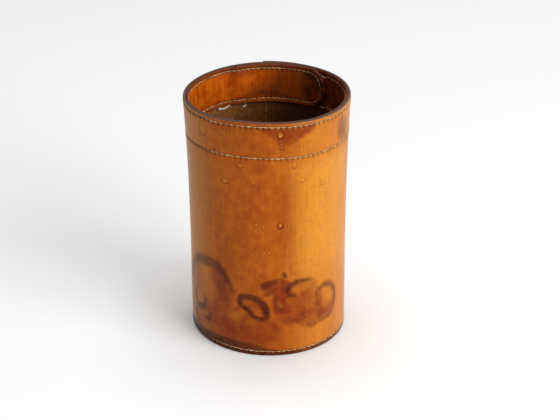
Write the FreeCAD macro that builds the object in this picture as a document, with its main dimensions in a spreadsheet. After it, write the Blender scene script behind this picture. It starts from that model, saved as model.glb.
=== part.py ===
"""Leather dice cup: a rolled leather wall lapped and sewn at the back, a facing band sewn inside
the rim, a dished leather bottom sewn inside the foot, and the threads of every stitched row.

Millimetres, +Z up. The origin is the centre of the foot, on the surface the cup stands on. An
azimuth is in degrees about +Z, measured from the back of the cup (+Y) towards its right (+X).
"""
import FreeCAD, Part
import Sketcher
from FreeCAD import Placement, Rotation, Vector

import math
import os

# Driving dimensions: alias, value and what it measures.
SIZES = (
    ("cup_height", 150.0, "foot to rim"),
    ("waist_radius", 46.8, "outside of the wall, from the foot up to where it opens out"),
    ("rim_flare", 2.4, "how much wider the rim is than the waist, on the radius"),
    ("flare_start", 60.0, "height where the wall begins to open out"),
    ("leather_thickness", 1.6, "wall and band"),
    ("bottom_thickness", 2.0, "bottom disc"),
    ("glue_gap", 0.12, "between two pieces of leather that lie together"),
    ("skived_edge", 0.3, "thickness of the wall's inner end, pared down"),
    ("flap_edge", 1.25, "thickness of the wall's outer end, slightly pared"),
    ("band_width", 24.0, "facing band, down from the rim"),
    ("row_margin", 2.4, "stitched row to the edge of the band"),
    ("base_margin", 3.0, "stitched row of the base, up from the foot"),
    ("flange_height", 8.0, "turned-down edge of the bottom disc, up from the foot"),
    ("flange_bend", 3.0, "outside radius of the bend between flange and floor"),
    ("thread_width", 0.55, "thread"),
    ("thread_lift", 0.04, "clearance between thread and leather"),
    ("thread_bend", 0.34, "radius of the thread's middle line where it dips into a hole"),
    ("leg_shift", 0.31, "thread leg to the middle of its awl hole, along the row"),
    ("hole_width", 1.2, "awl hole, which holds two thread legs side by side"),
    ("stitches_round", 90, "stitches in one full turn of a row"),
    ("seam_stitches", 29, "stitches in the upright seam"),
    ("tongue_stitches", 9, "stitches round the tongue end of the band"),
)

# Azimuths of the lap in the wall: the flap comes away from the inner end from FLAP_START on.
FLAP_TIP = -4.0
SEAM_ROW = -2.0
SKIVED_TIP = 19.6
FLAP_BEND = 20.0
FLAP_FOOT = 20.5
FLAP_START = 35.0

# Azimuths of the lap in the band: its top layer climbs over the under-end and ends in a tongue
# round TONGUE_CENTRE, cut from a square end that reaches to TONGUE_STOCK.
BAND_CLIMB = -33.0
BAND_CLIMBED = -24.5
UNDER_END = -24.0
TONGUE_CENTRE = 34.0
TONGUE_STOCK = 54.0

# Heights of the wall's cross-sections, as fractions of the cup's height.
WALL_LEVELS = (0.0, 0.02, 0.05, 0.1, 0.18, 0.4, 0.55, 0.7, 0.85, 1.0)

# Cut thread ends left inside, below the band: azimuth, drop below the band, lift off the wall.
LONG_TAIL = ((-41.0, 0.9, 0.2), (-36.0, 1.5, 0.9), (-31.0, 0.7, 0.1))
SHORT_TAIL = ((-19.4, 3.4, 0.0), (-18.5, 2.6, 0.2), (-18.0, 1.2, 0.1))
TAIL_BEND = 1.2


def make_sheet(doc):
    sheet = doc.addObject("Spreadsheet::Sheet", "Sizes")
    for row, (alias, value, meaning) in enumerate(SIZES, start=1):
        sheet.set(f"A{row}", alias)
        sheet.set(f"B{row}", str(value))
        sheet.set(f"C{row}", meaning)
        sheet.setAlias(f"B{row}", alias)
    doc.recompute()
    return {alias: float(sheet.get(alias)) for alias, _, _ in SIZES}


def wall_radius(z):
    """Outside radius of the single wall at height z: straight, then opening out to the rim."""
    opening = max(0.0, z - size["flare_start"]) / (size["cup_height"] - size["flare_start"])
    return size["waist_radius"] + size["rim_flare"] * opening**2


def wall_radius_expression(height):
    """The same radius as a spreadsheet expression, at a height given as an expression."""
    opening = f"max(0; {height} - Sizes.flare_start) / (Sizes.cup_height - Sizes.flare_start)"
    return f"Sizes.waist_radius + Sizes.rim_flare * ({opening})^2"


def radial(azimuth):
    angle = math.radians(azimuth)
    return Vector(math.sin(angle), math.cos(angle), 0)


def around(azimuth, radius, z=0.0):
    return radial(azimuth) * radius + Vector(0, 0, z)


def between(azimuth, first, second, first_value, second_value):
    """Value that runs evenly from one azimuth to another, and holds beyond them."""
    share = (azimuth - first) / (second - first)
    share = min(max(share, 0.0), 1.0)
    return first_value + share * (second_value - first_value)


# ---------------------------------------------------------------- surfaces the threads lie on


def outside_radius(azimuth, z):
    """Outside of the wall, raised where the flap lies over the wall's inner end."""
    raised = size["glue_gap"] + size["flap_edge"]
    if FLAP_TIP < azimuth < FLAP_START:
        return wall_radius(z) + between(azimuth, FLAP_TIP, FLAP_START, raised, 0.0)
    return wall_radius(z)


def inside_radius(azimuth, z):
    return wall_radius(z) - size["leather_thickness"]


def band_inside_radius(azimuth, z):
    """Inside of the band, one layer thicker where its tongue end lies over its under-end."""
    layer = size["leather_thickness"] + size["glue_gap"]
    single = inside_radius(azimuth, z) - layer
    if BAND_CLIMB < azimuth < TONGUE_STOCK:
        return between(azimuth, BAND_CLIMB, BAND_CLIMBED, single, single - layer)
    return single


def flange_inside_radius(azimuth, z):
    return inside_radius(azimuth, z) - size["glue_gap"] - size["bottom_thickness"]


# ---------------------------------------------------------------- sketched leather


def origin_plane(body, role):
    return next(f for f in body.Origin.OriginFeatures if f.Role == role)


def join_ends(sketch, first, second):
    """Hold the nearest ends of two edges of a sketch together."""

    def gap(ends):
        one, other = ends
        return sketch.getPoint(first, one).distanceToPoint(sketch.getPoint(second, other))

    pairs = [(one, other) for one in (1, 2) for other in (1, 2)]
    one, other = min(pairs, key=gap)
    sketch.addConstraint(Sketcher.Constraint("Coincident", first, one, second, other))


def section_sketch(body, name, height, edges, rings):
    """Horizontal cross-section. edges are lists of two points (a line) or three (an arc), end to
    end; rings maps an edge's index to the name and expression of its radius about the axis."""
    sketch = body.newObject("Sketcher::SketchObject", name)
    sketch.AttachmentSupport = [(origin_plane(body, "XY_Plane"), "")]
    sketch.MapMode = "FlatFace"
    sketch.setExpression("AttachmentOffset.Base.z", height)
    for points in edges:
        kind = Part.LineSegment if len(points) == 2 else Part.Arc
        sketch.addGeometry(kind(*points), False)
    for index in range(len(edges)):
        join_ends(sketch, index, (index + 1) % len(edges))
    for index, (label, expression) in rings.items():
        radius = sketch.Geometry[index].Radius
        sketch.addConstraint(Sketcher.Constraint("Coincident", index, 3, -1, 1))
        number = sketch.addConstraint(Sketcher.Constraint("Radius", index, radius))
        sketch.renameConstraint(number, label)
        sketch.setExpression(f"Constraints.{label}", expression)
    return sketch


def long_way(start_azimuth, end_azimuth, radius):
    """Arc about the axis that passes the front of the cup."""
    return [around(start_azimuth, radius), around(180, radius), around(end_azimuth, radius)]


def slope(start, end):
    """Arc between two (azimuth, radius) points, half-way in both at its middle."""
    middle = ((start[0] + end[0]) / 2, (start[1] + end[1]) / 2)
    return [around(*start), around(*middle), around(*end)]


def wall_section(radius):
    """The rolled sheet seen from above: its pared inner end lies under the flap."""
    inner = radius - size["leather_thickness"]
    skived = inner + size["skived_edge"]
    over_skived = skived + size["glue_gap"]
    flap_under = radius + size["glue_gap"]
    flap_top = flap_under + size["flap_edge"]
    return [
        long_way(SKIVED_TIP, FLAP_FOOT, inner),
        [around(FLAP_FOOT, inner), around(FLAP_BEND, over_skived)],
        slope((FLAP_BEND, over_skived), (FLAP_TIP, flap_under)),
        [around(FLAP_TIP, flap_under), around(FLAP_TIP, flap_top)],
        slope((FLAP_TIP, flap_top), (FLAP_START, radius)),
        long_way(FLAP_START, FLAP_TIP, radius),
        slope((FLAP_TIP, radius), (SKIVED_TIP, skived)),
        [around(SKIVED_TIP, skived), around(SKIVED_TIP, inner)],
    ]


def band_section(outer):
    """The facing strip seen from above: the tongue climbs over the under-end."""
    layer = size["leather_thickness"]
    step = layer + size["glue_gap"]
    over = outer - step
    lap_middle = (BAND_CLIMBED + TONGUE_STOCK) / 2
    lap_run = (BAND_CLIMBED, lap_middle, TONGUE_STOCK)
    return [
        long_way(UNDER_END, BAND_CLIMB, outer),
        slope((BAND_CLIMB, outer), (BAND_CLIMBED, over)),
        [around(azimuth, over) for azimuth in lap_run],
        [around(TONGUE_STOCK, over), around(TONGUE_STOCK, over - layer)],
        [around(azimuth, over - layer) for azimuth in lap_run[::-1]],
        slope((BAND_CLIMBED, over - layer), (BAND_CLIMB, outer - layer)),
        long_way(BAND_CLIMB, UNDER_END, outer - layer),
        [around(UNDER_END, outer - layer), around(UNDER_END, outer)],
    ]


def loft_body(doc, name, levels, section, rings):
    """Body lofted through cross-sections at levels, given as (height, height expression)."""
    body = doc.addObject("PartDesign::Body", name)
    sketches = []
    for number, (z, expression) in enumerate(levels):
        edges = section(wall_radius(z))
        label = f"{name}_section_{number}"
        sketches.append(section_sketch(body, label, expression, edges, rings(expression)))
    doc.recompute()
    loft = body.newObject("PartDesign::AdditiveLoft", f"{name}_loft")
    loft.Profile = sketches[0]
    loft.Sections = sketches[1:]
    loft.Ruled = False
    loft.Refine = False
    body.Tip = loft
    doc.recompute()
    return body


def wall_sheet(doc):
    def rings(height):
        radius = wall_radius_expression(height)
        return {
            0: ("inside", f"{radius} - Sizes.leather_thickness"),
            5: ("outside", radius),
        }

    levels = [
        (size["cup_height"] * share, f"Sizes.cup_height * {share}") for share in WALL_LEVELS
    ]
    return loft_body(doc, "wall_sheet", levels, wall_section, rings)


def band_strip(doc):
    def rings(height):
        gap = "Sizes.leather_thickness - Sizes.glue_gap"
        outer = f"{wall_radius_expression(height)} - {gap}"
        return {
            0: ("outside", outer),
            6: ("inside", f"{outer} - Sizes.leather_thickness"),
        }

    def section(radius):
        return band_section(radius - size["leather_thickness"] - size["glue_gap"])

    levels = [
        (
            size["cup_height"] - size["band_width"] * (1 - share),
            f"Sizes.cup_height - Sizes.band_width * {1 - share}",
        )
        for share in (0.0, 0.25, 0.5, 0.75, 1.0)
    ]
    return loft_body(doc, "band_strip", levels, section, rings)


def tongue_trim(doc):
    """What is cut off the square end of the band's top layer to leave a half-round tongue."""
    margin = 2.0
    sector = 30.0
    cutter_setback = 20.0
    cutter_length = 30.0
    low = size["cup_height"] - size["band_width"] - margin
    high = size["cup_height"] + margin
    under = 1.5 * size["glue_gap"] + 2 * size["leather_thickness"]

    shell = doc.addObject("Part::Cone", "tongue_trim_shell")
    shell.Radius1 = wall_radius(low) - under
    shell.Radius2 = wall_radius(high) - under
    shell.Height = high - low
    shell.Angle = sector
    # A cone's sector starts on its own X axis; this one runs on from TONGUE_CENTRE.
    start = 90 - TONGUE_CENTRE - sector
    shell.Placement = Placement(Vector(0, 0, low), Rotation(Vector(0, 0, 1), start))

    round_end = doc.addObject("Part::Cylinder", "tongue_round_end")
    round_end.setExpression("Radius", "Sizes.band_width / 2")
    round_end.Height = cutter_length
    middle = size["cup_height"] - size["band_width"] / 2
    spot = around(TONGUE_CENTRE, size["waist_radius"] - cutter_setback, middle)
    turn = Rotation(Vector(0, 0, 1), radial(TONGUE_CENTRE))
    round_end.Placement = Placement(spot, turn)

    trim = doc.addObject("Part::Cut", "tongue_trim")
    trim.Base = shell
    trim.Tool = round_end
    return trim


def bottom_dish(doc):
    """Bottom disc with its edge turned down, revolved about the axis."""
    body = doc.addObject("PartDesign::Body", "bottom_dish")
    sketch = body.newObject("Sketcher::SketchObject", "dish_profile")
    sketch.AttachmentSupport = [(origin_plane(body, "XZ_Plane"), "")]
    sketch.MapMode = "FlatFace"
    top = size["flange_height"]
    thick = size["bottom_thickness"]
    bend = size["flange_bend"]

    outer = wall_radius(0) - size["leather_thickness"] - size["glue_gap"]

    def bend_arc(radius):
        """Quarter round from flange to floor, about the middle of the bend."""
        shoulder = Vector(outer - bend + radius, top - bend, 0)
        floor = Vector(outer - bend, top - bend + radius, 0)
        corner = math.sqrt(0.5) * radius
        middle = Vector(outer - bend + corner, top - bend + corner, 0)
        return shoulder, middle, floor

    outer_bend = bend_arc(bend)
    inner_bend = bend_arc(bend - thick)[::-1]
    profile = [
        Part.LineSegment(Vector(outer, 0, 0), outer_bend[0]),
        Part.Arc(*outer_bend),
        Part.LineSegment(outer_bend[-1], Vector(0, top, 0)),
        Part.LineSegment(Vector(0, top, 0), Vector(0, top - thick, 0)),
        Part.LineSegment(Vector(0, top - thick, 0), inner_bend[0]),
        Part.Arc(*inner_bend),
        Part.LineSegment(inner_bend[-1], Vector(outer - thick, 0, 0)),
        Part.LineSegment(Vector(outer - thick, 0, 0), Vector(outer, 0, 0)),
    ]
    for edge in profile:
        sketch.addGeometry(edge, False)
    axis, under = 3, 4
    sketch.addConstraint(Sketcher.Constraint("PointOnObject", axis, 1, -2))
    number = sketch.addConstraint(Sketcher.Constraint("DistanceY", axis, 2, axis, 1, thick))
    sketch.renameConstraint(number, "thickness")
    sketch.setExpression("Constraints.thickness", "Sizes.bottom_thickness")
    sketch.addConstraint(Sketcher.Constraint("Coincident", axis, 2, under, 1))
    doc.recompute()

    turned = body.newObject("PartDesign::Revolution", "dish_turned")
    turned.Profile = sketch
    turned.ReferenceAxis = (sketch, ["V_Axis"])
    turned.Angle = 360
    turned.Refine = False
    body.Tip = turned
    doc.recompute()
    return body


# ---------------------------------------------------------------- stitched rows


def rim_row(height):
    """Holes of a row round the rim: from beyond the tongue, all round, to the tongue's corner."""
    step = 360 / size["stitches_round"]
    after_tongue = TONGUE_CENTRE - 360 + 3 * step
    count = round((TONGUE_CENTRE - after_tongue) / step)
    return [(TONGUE_CENTRE - step * (count - k), height) for k in range(count + 1)]


def tongue_row():
    """Holes round the tongue end, from the upper row to the lower one."""
    radius = size["band_width"] / 2 - size["row_margin"]
    middle = size["cup_height"] - size["band_width"] / 2
    across = math.degrees(radius / wall_radius(middle))
    count = round(size["tongue_stitches"])
    turns = [math.pi * k / count for k in range(count + 1)]
    return [
        (TONGUE_CENTRE + across * math.sin(turn), middle + radius * math.cos(turn))
        for turn in turns
    ]


def base_row():
    count = round(size["stitches_round"])
    step = 360 / count
    return [(SEAM_ROW + step * k - 360, size["base_margin"]) for k in range(count + 1)]


def seam_row():
    """Holes of the upright seam, from just above the flange to just below the band."""
    above_flange = 2.5
    below_band = 1.5
    low = size["flange_height"] + above_flange
    high = size["cup_height"] - size["band_width"] - below_band
    count = round(size["seam_stitches"])
    return [(SEAM_ROW, low + (high - low) * k / count) for k in range(count + 1)]


def unwound(azimuth):
    """Azimuth between -180 and 180, where the surface functions know the laps."""
    return (azimuth + 180) % 360 - 180


def awl_holes(doc, name, holes, inner, outer):
    """One round punch for each hole, along the radius, a little longer than the leather."""
    spare = 0.8
    punches = []
    for azimuth, z in holes:
        turn = unwound(azimuth)
        start = inner(turn, z) - spare
        length = outer(turn, z) + spare - start
        spot = around(azimuth, start, z)
        punches.append(Part.makeCylinder(size["hole_width"] / 2, length, spot, radial(azimuth)))
    tool = doc.addObject("Part::Feature", name)
    tool.Shape = Part.makeCompound(punches)
    return tool


def rounded_path(points, radius):
    """Straight runs through the points, joined by tangent arcs."""
    edges = []
    start = points[0]
    for before, corner, after in zip(points, points[1:], points[2:]):
        come = (corner - before).normalize()
        leave = (after - corner).normalize()
        half_turn = come.getAngle(leave) / 2
        tangent = radius * math.tan(half_turn)
        to_centre = (leave - come).normalize()
        arc_start = corner - come * tangent
        arc_end = corner + leave * tangent
        arc_middle = corner + to_centre * (radius / math.cos(half_turn) - radius)
        edges.append(Part.LineSegment(start, arc_start).toShape())
        edges.append(Part.Arc(arc_start, arc_middle, arc_end).toShape())
        start = arc_end
    edges.append(Part.LineSegment(start, points[-1]).toShape())
    return Part.Wire(edges)


def thread_along(path, start, direction):
    circle = Part.Circle(start, direction, size["thread_width"] / 2)
    return path.makePipeShell([Part.Wire([circle.toShape()])], True, False)


def stitch(first, second, face, far_face, side):
    """One stitch on the surface face, with legs to the middle of the leather, where the thread
    of the other side meets it. side is 1 on the outside of the cup and -1 on its inside."""
    ends = []
    for azimuth, z in (first, second):
        turn = unwound(azimuth)
        surface = face(turn, z)
        depth = abs(surface - far_face(turn, z)) / 2 - size["thread_lift"]
        raised = surface + side * (size["thread_width"] / 2 + size["thread_lift"])
        ends.append((around(azimuth, raised, z), around(azimuth, surface - side * depth, z)))
    along = (ends[1][0] - ends[0][0]).normalize()
    shift = along * size["leg_shift"]
    points = [
        ends[0][1] + shift,
        ends[0][0] + shift,
        ends[1][0] - shift,
        ends[1][1] - shift,
    ]
    path = rounded_path(points, size["thread_bend"])
    return thread_along(path, points[0], points[1] - points[0])


def thread_node(doc, name, rows, face, far_face, side):
    stitches = []
    for row in rows:
        for first, second in zip(row, row[1:]):
            stitches.append(stitch(first, second, face, far_face, side))
    node = doc.addObject("Part::Feature", name)
    node.Label = name
    node.Shape = Part.makeCompound(stitches)
    node.Placement = Placement()
    return node


def tail(spots):
    points = []
    for azimuth, drop, lift in spots:
        z = size["cup_height"] - size["band_width"] - drop
        points.append(around(azimuth, inside_radius(azimuth, z) - size["thread_width"] - lift, z))
    path = rounded_path(points, TAIL_BEND)
    return thread_along(path, points[0], points[1] - points[0])


def thread_tails(doc):
    """Cut ends of thread left inside, against the wall just below the band."""
    node = doc.addObject("Part::Feature", "thread_tails")
    node.Label = "thread_tails"
    node.Shape = Part.makeCompound([tail(LONG_TAIL), tail(SHORT_TAIL)])
    node.Placement = Placement()
    return node


def pierced(doc, name, leather, tools):
    """The finished leather piece: its body less the awl holes and trims, one after another."""
    doc.recompute()
    shape = leather.Shape
    for tool in tools:
        shape = shape.cut(tool.Shape)
    node = doc.addObject("Part::Feature", name)
    node.Label = name
    node.Shape = shape
    node.Placement = Placement()
    return node


def make_cup(doc):
    upper = rim_row(size["cup_height"] - size["row_margin"])
    lower = rim_row(size["cup_height"] - size["band_width"] + size["row_margin"])
    tongue = tongue_row()
    base = base_row()
    seam = seam_row()

    rim_holes = upper + lower + tongue[1:-1]
    rim_awl = awl_holes(doc, "rim_awl", rim_holes, band_inside_radius, outside_radius)
    base_awl = awl_holes(doc, "base_awl", base[:-1], flange_inside_radius, outside_radius)
    seam_awl = awl_holes(doc, "seam_awl", seam, inside_radius, outside_radius)

    nodes = [
        pierced(doc, "body_wall", wall_sheet(doc), [base_awl, seam_awl, rim_awl]),
        pierced(doc, "rim_band", band_strip(doc), [rim_awl, tongue_trim(doc)]),
        pierced(doc, "base_disc", bottom_dish(doc), [base_awl]),
    ]
    rows = (
        ("rim_upper_thread", upper, band_inside_radius),
        ("rim_lower_thread", lower, band_inside_radius),
        ("tongue_thread", tongue, band_inside_radius),
        ("base_thread", base, flange_inside_radius),
        ("seam_thread", seam, inside_radius),
    )
    for name, row, inner in rows:
        nodes.append(thread_node(doc, f"{name}_outer", [row], outside_radius, inner, 1))
        nodes.append(thread_node(doc, f"{name}_inner", [row], inner, outside_radius, -1))
    nodes.append(thread_tails(doc))
    return nodes


def check(doc, nodes):
    for item in doc.Objects:
        if "Invalid" in item.State or "Error" in item.State:
            raise RuntimeError(f"{item.Label} failed: {item.State}")
    for node in nodes:
        shape = node.Shape
        if shape.isNull() or not shape.isValid() or not shape.Solids:
            raise RuntimeError(f"{node.Label} has no valid solid")


document = FreeCAD.newDocument("dice_cup")
size = make_sheet(document)
sub_parts = make_cup(document)
document.recompute()
check(document, sub_parts)

os.makedirs("parts", exist_ok=True)
for sub_part in sub_parts:
    sub_part.Shape.exportStep(f"parts/{sub_part.Label}.step")
    volume = sub_part.Shape.Volume
    print(f"{sub_part.Label}: {len(sub_part.Shape.Solids)} solid(s), {volume:.0f} mm3")
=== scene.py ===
"""Leather dice cup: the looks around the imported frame.

Leather is modelled as sheets that are wrapped round the cup, threads as twisted cord laid from
awl hole to awl hole. Millimetres throughout; put() turns them into metres.
"""
import math

import bmesh
import bpy
import numpy as np
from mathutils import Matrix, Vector


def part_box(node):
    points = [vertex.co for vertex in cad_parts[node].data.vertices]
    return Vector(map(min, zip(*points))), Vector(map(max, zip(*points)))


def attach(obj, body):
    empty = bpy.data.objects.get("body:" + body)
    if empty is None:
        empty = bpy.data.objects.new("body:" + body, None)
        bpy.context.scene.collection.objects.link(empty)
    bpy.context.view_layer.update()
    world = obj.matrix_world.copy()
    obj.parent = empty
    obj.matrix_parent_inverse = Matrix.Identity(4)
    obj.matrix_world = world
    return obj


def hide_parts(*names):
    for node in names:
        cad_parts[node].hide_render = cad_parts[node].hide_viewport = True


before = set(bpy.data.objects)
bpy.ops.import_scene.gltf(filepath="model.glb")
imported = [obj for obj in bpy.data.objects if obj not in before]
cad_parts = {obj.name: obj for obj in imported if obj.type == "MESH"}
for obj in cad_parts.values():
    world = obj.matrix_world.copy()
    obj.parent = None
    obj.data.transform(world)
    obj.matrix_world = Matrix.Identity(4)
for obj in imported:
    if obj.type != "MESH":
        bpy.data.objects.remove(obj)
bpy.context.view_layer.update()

# ---------------------------------------------------------------- sizes, as in the frame

MM = 0.001
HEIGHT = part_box("body_wall")[1][2] / MM
WAIST = 46.8
RIM_FLARE = 2.4
FLARE_START = 60.0
LEATHER = 1.6
BOTTOM = 2.0
GLUE_GAP = 0.12
FLAP_EDGE = 1.25
SKIVED_EDGE = 0.3
BAND_WIDTH = 24.0
ROW_MARGIN = 2.4
BASE_MARGIN = 3.0
FLANGE = 8.0
FLANGE_BEND = 3.0
STITCHES_ROUND = 90
SEAM_STITCHES = 29
TONGUE_STITCHES = 9

# Azimuths in degrees from the back (+Y) towards the right (+X).
FLAP_TIP = -4.0
SKIVED_TIP = 19.6
FLAP_BEND = 20.0
FLAP_FOOT = 20.5
FLAP_START = 35.0
SEAM_ROW = -2.0
UNDER_END = -24.0
CLIMB_START = -33.0
CLIMB_END = -24.5
TONGUE_CENTRE = 34.0

UPPER_ROW = HEIGHT - ROW_MARGIN
LOWER_ROW = HEIGHT - BAND_WIDTH + ROW_MARGIN
BAND_FOOT = HEIGHT - BAND_WIDTH
BAND_MIDDLE = HEIGHT - BAND_WIDTH / 2
AROUND = math.radians(1) * WAIST  # one degree round the wall, in mm

# Beyond the tongue's centre, in degrees, the band is a single layer again.
TONGUE_REACH = 16

# Radii of a cut edge: grain top, flesh top, flesh foot and grain foot.
CUT_CORNERS = (0.95, 0.3, 0.3, 0.6)

# The stitches draw the leather in: a trough along each one and a pit at each of its ends.
TROUGH_DEPTH = 0.14
TROUGH_HALF = 0.7
PIT_DEPTH = 0.75
PIT_ALONG = 0.72
PIT_ACROSS = 0.50

# The thread: half its width, how deep its ends dip into the holes and how high it arches.
THREAD_HALF = 0.21
THREAD_DIP = 0.75
THREAD_ARCH = 0.87

# Mesh points closer together than this are joined.
WELD_GAP = 0.02

# Below this height the wall's mesh is fine enough for the stains' outlines.
STAINED_TO = 62.0

# How far the rim is out of round, out of level and off to the left.
OVAL = 0.64
RIM_TILT = 1.03
LEAN = 3.18

# The front of the rim, a little left of the middle, is pressed in and stands a little high.
PRESSED_AT = 193.0
PRESSED_HALF = 38.0
PRESSED_IN = 2.4
PRESSED_UP = 1.0

dice = np.random.default_rng(7)


# ---------------------------------------------------------------- the cup's surfaces


def wall_radius(z):
    opening = np.maximum(0.0, z - FLARE_START) / (HEIGHT - FLARE_START)
    return WAIST + RIM_FLARE * opening**2


def ease(value, low, high):
    """0 below low, 1 above high, and a smooth run between; low may be the larger."""
    share = np.clip((value - low) / (high - low), 0.0, 1.0)
    return share * share * (3 - 2 * share)


def ramp(value, low, high):
    return np.clip((value - low) / (high - low), 0.0, 1.0)


def unwound(azimuth):
    return (np.asarray(azimuth, float) + 180) % 360 - 180


def flap_rise(azimuth):
    """How far the wall's outside is raised by the lap, at an azimuth between -180 and 180."""
    raised = (GLUE_GAP + FLAP_EDGE) * (1 - ramp(azimuth, FLAP_TIP, FLAP_START))
    return np.where(azimuth > FLAP_TIP, raised, 0.0)


def outside(azimuth, z):
    return wall_radius(z) + flap_rise(unwound(azimuth))


def wall_inside(azimuth, z):
    return wall_radius(z) - LEATHER


def band_inside(azimuth, z):
    turn = unwound(azimuth)
    lapped = (turn > CLIMB_START) & (turn < TONGUE_CENTRE + TONGUE_REACH)
    climb = np.where(lapped, ease(turn, CLIMB_START, CLIMB_END), 0.0)
    return wall_radius(z) - LEATHER - (LEATHER + GLUE_GAP) * (1 + climb)


def flange_inside(azimuth, z):
    return wall_radius(z) - LEATHER - GLUE_GAP - BOTTOM


WAVES = [
    (around, up, dice.uniform(0, 2 * math.pi))
    for around, up in ((2, 0.02), (3, 0.045), (5, 0.03), (7, 0.07), (11, 0.05), (4, 0.11))
]


def unevenness(azimuth, z):
    """Hand-worked leather is never quite true: long, shallow waves, the same for all pieces."""
    turn = np.radians(azimuth)
    total = sum(np.sin(a * turn + b * z + c) / a for a, b, c in WAVES)
    return 0.16 * total


def place(azimuth, radius, z):
    """Points in space from cup coordinates. The soft cup is a little oval at the rim, its rim is
    not quite level, and the whole cup leans a little to the left."""
    turn = np.radians(azimuth)
    share = z / HEIGHT
    oval = OVAL * share * np.cos(2 * (turn - math.radians(28)))
    away = (unwound(azimuth - PRESSED_AT)) / PRESSED_HALF
    pressed = np.exp(-(away**2)) * ease(z, 50, HEIGHT)
    true = radius + oval + unevenness(azimuth, z) * ease(z, 0, 20) - PRESSED_IN * pressed
    x = true * np.sin(turn)
    y = true * np.cos(turn)
    up = z + RIM_TILT * share * x / WAIST + PRESSED_UP * pressed
    return np.stack([x - LEAN * share, y, up], axis=-1)


# ---------------------------------------------------------------- stitched rows


def rim_row(height):
    step = 360 / STITCHES_ROUND
    first = TONGUE_CENTRE - 360 + 3 * step
    count = round((TONGUE_CENTRE - first) / step)
    return [(first + step * k, height) for k in range(count + 1)]


def tongue_row():
    radius = BAND_WIDTH / 2 - ROW_MARGIN
    across = math.degrees(radius / wall_radius(BAND_MIDDLE))
    turns = [math.pi * k / TONGUE_STITCHES for k in range(TONGUE_STITCHES + 1)]
    return [
        (TONGUE_CENTRE + across * math.sin(turn), BAND_MIDDLE + radius * math.cos(turn))
        for turn in turns
    ]


def base_row():
    step = 360 / STITCHES_ROUND
    return [(SEAM_ROW - 360 + step * k, BASE_MARGIN) for k in range(STITCHES_ROUND + 1)]


def seam_row():
    low = FLANGE + 2.5
    high = BAND_FOOT - 1.5
    return [(SEAM_ROW, low + (high - low) * k / SEAM_STITCHES) for k in range(SEAM_STITCHES + 1)]


UPPER = rim_row(UPPER_ROW)
LOWER = rim_row(LOWER_ROW)
TONGUE = tongue_row()
BASE = base_row()
SEAM = seam_row()


def pull_in(azimuth, z, rows):
    """How deep the leather is drawn in: a pit at each awl hole, a faint trough between them."""
    depth = np.zeros(np.broadcast(azimuth, z).shape)
    for row in rows:
        for (a, za), (b, zb) in zip(row, row[1:]):
            du = unwound(azimuth - (a + b) / 2) * AROUND
            dv = z - (za + zb) / 2
            near = (np.abs(du) < 5) & (np.abs(dv) < 5)
            if not near.any():
                continue
            run = np.array([(b - a) * AROUND, zb - za])
            length = np.hypot(*run)
            run = run / length
            along = du[near] * run[0] + dv[near] * run[1]
            off = -du[near] * run[1] + dv[near] * run[0]
            within = ramp(length / 2 + 0.8 - np.abs(along), 0, 0.8)
            trough = TROUGH_DEPTH * np.exp(-((off / TROUGH_HALF) ** 2)) * within
            pits = 0.0
            for end in (-length / 2, length / 2):
                away = ((along - end) / PIT_ALONG) ** 2 + (off / PIT_ACROSS) ** 2
                pits = np.maximum(pits, np.exp(-away))
            depth[near] = np.maximum(depth[near], np.maximum(trough, PIT_DEPTH * pits))
    return depth
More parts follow.
